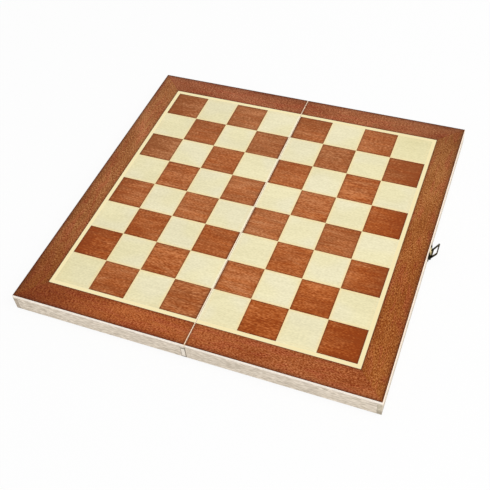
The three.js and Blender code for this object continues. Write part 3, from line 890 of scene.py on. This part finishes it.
def floor_material():
    """A pale floor that takes shadows, and glows white where it is seen directly."""
    shader = Shader("floor")
    grey = (FLOOR_ALBEDO, FLOOR_ALBEDO, FLOOR_ALBEDO, 1)
    shader.set(Base_Color=grey, Roughness=FLOOR_ROUGHNESS, Specular_IOR_Level=0.0)
    glow = shader.node("ShaderNodeEmission")
    glow.inputs["Color"].default_value = WHITE
    mix = shader.node("ShaderNodeMixShader")
    shader.feed(mix.inputs[0], shader.math("MULTIPLY", seen_directly(shader), FLOOR_GLOW_SHARE))
    shader.feed(mix.inputs[1], shader.surface.outputs[0])
    shader.feed(mix.inputs[2], glow.outputs[0])
    shader.feed(shader.tree.nodes["Material Output"].inputs[0], mix.outputs[0])
    return shader.material


def add_floor():
    mesh = bpy.data.meshes.new("floor")
    reach = FLOOR_HALF_WIDTH
    height = FLOOR_HEIGHT_MM * MM
    corners = [(x * reach, y * reach, height) for x, y in ((-1, -1), (1, -1), (1, 1), (-1, 1))]
    mesh.from_pydata(corners, [], [(0, 1, 2, 3)])
    mesh.materials.append(floor_material())
    floor = bpy.data.objects.new("floor", mesh)
    bpy.context.scene.collection.objects.link(floor)


# Dressing the CAD nodes

PANEL_BEVEL_MM = 0.12
WALL_BEVEL_MM = 0.25
LATCH_BEVEL_MM = 0.12
HINGE_BEVEL_MM = 0.08
WOOD_BEVEL_ANGLE = 40
BRASS_BEVEL_ANGLE = 50
SHARP_ANGLE = 35
NAIL_SHARP_ANGLE = 50
SCREW_SHARP_ANGLE = 30


def dress(node, material):
    """Gives a CAD node its material."""
    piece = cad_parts[node]
    piece.data.materials.clear()
    piece.data.materials.append(material)
    return piece


def soften(piece, width_mm, segments=2, angle=WOOD_BEVEL_ANGLE):
    """Rounds a piece's edges."""
    bevel = piece.modifiers.new("soft_edges", "BEVEL")
    bevel.width = width_mm * MM
    bevel.segments = segments
    bevel.limit_method = "ANGLE"
    bevel.angle_limit = math.radians(angle)


def smooth(piece, angle=SHARP_ANGLE):
    """Shades a piece smooth, but for edges that are sharper than the angle."""
    piece.data.shade_smooth()
    piece.data.set_sharp_from_angle(angle=math.radians(angle))


def dress_wood():
    along_x, along_y = (wall_wood(f"wall_wood_along_{grain}", grain) for grain in WALL_SHIFTS)
    panel = panel_wood("panel_wood")
    for side, _ in SIDES:
        soften(dress(f"{side}_panel", panel), PANEL_BEVEL_MM)
        for wall in ("side_wall", "fold_wall"):
            soften(dress(f"{side}_{wall}", along_y), WALL_BEVEL_MM)
        for wall in ("front_wall", "back_wall"):
            soften(dress(f"{side}_{wall}", along_x), WALL_BEVEL_MM)


def dress_veneer():
    borders = {place: border_wood(f"border_wood_{place}", **look) for place, look in BORDERS.items()}
    cream = cream_wood("cream_wood")
    brown = square_wood("square_wood")
    for side, _ in SIDES:
        for end, _ in ENDS:
            dress(f"{side}_border_{end}", borders[end])
        dress(f"{side}_border_side", borders[side])
        dress(f"{side}_light_veneer", cream)
    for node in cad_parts:
        if node.startswith("dark_square"):
            dress(node, brown)


def dress_brass(latch_brass, base_brass, hinge_brass):
    latch = {
        "latch_base_plate": base_brass,
        "latch_tongue": latch_brass,
        "latch_pin": latch_brass,
        "catch_plate": base_brass,
    }
    for node, material in latch.items():
        piece = dress(node, material)
        soften(piece, LATCH_BEVEL_MM, angle=BRASS_BEVEL_ANGLE)
        smooth(piece)
    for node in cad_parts:
        if "hinge" in node:
            piece = dress(node, hinge_brass)
            soften(piece, HINGE_BEVEL_MM, segments=1, angle=BRASS_BEVEL_ANGLE)
            smooth(piece)


# Pieces that only the scene has

def new_piece(name, body, materials, vertices, faces, face_materials=None):
    """A closed mesh from its vertices in mm, riding on a body."""
    mesh = bpy.data.meshes.new(name)
    mesh.from_pydata([Vector(v) * MM for v in vertices], [], faces)
    for material in materials:
        mesh.materials.append(material)
    if face_materials:
        mesh.polygons.foreach_set("material_index", face_materials)
    work = bmesh.new()
    work.from_mesh(mesh)
    bmesh.ops.recalc_face_normals(work, faces=work.faces)
    work.to_mesh(mesh)
    work.free()
    piece = bpy.data.objects.new(name, mesh)
    bpy.context.scene.collection.objects.link(piece)
    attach(piece, body)
    return piece


def add_point(name, body, woods, left, right, base, tip):
    """A backgammon point: a long thin triangle on the panel's inner face, edged with the other wood."""
    middle = (left + right) / 2
    outer = [(left, base), (right, base), (middle, tip)]
    toward_tip = math.copysign(POINT_STRING_MM, tip - base)
    half_width = (right - left) / 2
    length = abs(tip - base)
    flank = math.hypot(half_width, length)
    inset = POINT_STRING_MM * (flank + half_width) / length
    inner = [
        (left + inset, base + toward_tip),
        (right - inset, base + toward_tip),
        (middle, tip - toward_tip * flank / half_width),
    ]
    low = PANEL_BOTTOM_MM - POINT_THICKNESS_MM
    high = PANEL_BOTTOM_MM + POINT_SUNK_MM
    vertices = [(*p, high) for p in outer] + [(*p, low) for p in outer] + [(*p, low) for p in inner]
    faces = [(0, 1, 2), (6, 7, 8)]
    kinds = [1, 0]
    for a, b in ((0, 1), (1, 2), (2, 0)):
        faces += [(a, b, b + 3, a + 3), (a + 3, b + 3, b + 6, a + 6)]
        kinds += [1, 1]
    new_piece(name, body, woods, vertices, faces, kinds)


def add_points():
    """Six points along each end of each tray, brown and cream by turns."""
    brown = inlay_wood("point_wood_brown", POINT_BROWN, PLAIN, BROWN_POINT_SWING)
    cream = inlay_wood("point_wood_cream", CREAM, PALE, CREAM_SWING)
    width = (SIDE_INNER_MM - FOLD_INNER_MM) / POINTS_IN_ROW
    for side, way in SIDES:
        for end, sign in ENDS:
            for k in range(POINTS_IN_ROW):
                left = way * (FOLD_INNER_MM + k * width)
                right = way * (FOLD_INNER_MM + (k + 1) * width)
                is_brown = (k + (sign > 0) + (way > 0)) % 2 == 0
                add_point(
                    f"{side}_point_{end}_{k + 1}",
                    f"{side}_half",
                    (brown, cream) if is_brown else (cream, brown),
                    min(left, right) + POINT_APART_MM,
                    max(left, right) - POINT_APART_MM,
                    sign * (END_INNER_MM - POINT_FROM_WALL_MM),
                    sign * (END_INNER_MM - POINT_LENGTH_MM),
                )


def lathe(profile, sides):
    """Vertices and faces of a profile of (radius, height) turned round its axis, where it ends."""
    vertices, faces, rings = [], [], []
    for radius, height in profile:
        if radius == 0:
            rings.append([len(vertices)])
            vertices.append((0, 0, height))
            continue
        rings.append(list(range(len(vertices), len(vertices) + sides)))
        for k in range(sides):
            turn = 2 * math.pi * k / sides
            vertices.append((radius * math.cos(turn), radius * math.sin(turn), height))
    for low, high in zip(rings, rings[1:]):
        for k in range(sides):
            n = (k + 1) % sides
            corners = [low[k % len(low)], low[n % len(low)], high[n % len(high)], high[k % len(high)]]
            faces.append(tuple(dict.fromkeys(corners)))
    return vertices, faces


def facing(vertices, place, way):
    """Turns a piece made along +Z to face along +X or -X, at a place in mm."""
    x, y, z = place
    return [(x + way * c, y + a, z + b) for a, b, c in vertices]


def add_nail(name, body, place, way, material):
    """A small domed nail head on a brass plate."""
    vertices, faces = lathe(NAIL_SHANK_MM + NAIL_DOME_MM, NAIL_SIDES)
    piece = new_piece(name, body, [material], facing(vertices, place, way), faces)
    smooth(piece, NAIL_SHARP_ANGLE)


def land_outline():
    """Half of a screw's head in mm, from one end of the slot's edge round to the other."""
    start = math.asin(SLOT_HALF_WIDTH_MM / SCREW_HEAD_MM)
    angles = [start + (math.pi - 2 * start) * k / LAND_SIDES for k in range(LAND_SIDES + 1)]
    return [(SCREW_HEAD_MM * math.cos(angle), SCREW_HEAD_MM * math.sin(angle)) for angle in angles]


def add_screw(name, body, place, way, material):
    """A countersunk screw's flush head in a leaf's hole, with a slot across it."""
    disc = [(radius, SCREW_BOTTOM_MM) for radius in (0, SCREW_HEAD_MM)]
    disc += [(radius, SLOT_FLOOR_MM) for radius in (SCREW_HEAD_MM, 0)]
    vertices, faces = lathe(disc, 2 * LAND_SIDES)
    outline = land_outline()
    count = len(outline)
    for mirror in (1, -1):
        first = len(vertices)
        vertices += [(a, mirror * b, SLOT_FLOOR_MM - LAND_SUNK_MM) for a, b in outline]
        for a, b in outline:
            from_slot = (b - SLOT_HALF_WIDTH_MM) * LAND_TOP_SHARE
            vertices.append((a * LAND_TOP_SHARE, mirror * (SLOT_HALF_WIDTH_MM + from_slot), 0.0))
        faces.append(tuple(range(first, first + count)))
        faces.append(tuple(range(first + count, first + 2 * count)))
        for k in range(count):
            n = (k + 1) % count
            faces.append((first + k, first + n, first + count + n, first + count + k))
    piece = new_piece(name, body, [material], facing(vertices, place, way), faces)
    smooth(piece, SCREW_SHARP_ANGLE)


def add_fasteners(nail_brass, screw_brass):
    for side, way in SIDES:
        for end, _ in ENDS:
            low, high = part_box(f"{end}_hinge_{side}_leaf")
            middle = (low.y + high.y) / 2 / MM
            for number, offset in ((1, -SCREW_OFFSET_MM), (2, SCREW_OFFSET_MM)):
                name = f"{end}_hinge_{side}_screw_{number}"
                place = (way * LEAF_FACE_MM, middle + offset, SCREW_HEIGHT_MM)
                add_screw(name, f"{side}_half", place, -way, screw_brass)
    for name, body, way, (offset, height) in (
        ("latch", "right_half", 1, LATCH_NAILS_MM),
        ("catch", "left_half", -1, CATCH_NAILS_MM),
    ):
        for number, sign in ((1, -1), (2, 1)):
            place = (way * PLATE_FACE_MM, LATCH_PLACE_MM + sign * offset, height)
            add_nail(f"{name}_nail_{number}", body, place, way, nail_brass)


bpy.context.scene.view_settings.view_transform = "Standard"
add_camera()
make_sky()
add_key_light()
add_floor()
dress_wood()
dress_veneer()
latch_brass = brass("latch_brass", LATCH_ROUGHNESS, LATCH_PATINA_AND_REFLECTION_SHARES)
base_brass = brass("base_brass", LATCH_ROUGHNESS, BASE_PATINA_AND_REFLECTION_SHARES, highlight_on_latch_bar)
hinge_brass = brass("hinge_brass", HINGE_ROUGHNESS, HINGE_SHARES)
dress_brass(latch_brass, base_brass, hinge_brass)
add_points()
add_fasteners(latch_brass, brass("screw_brass", SCREW_ROUGHNESS, SCREW_SHARES))
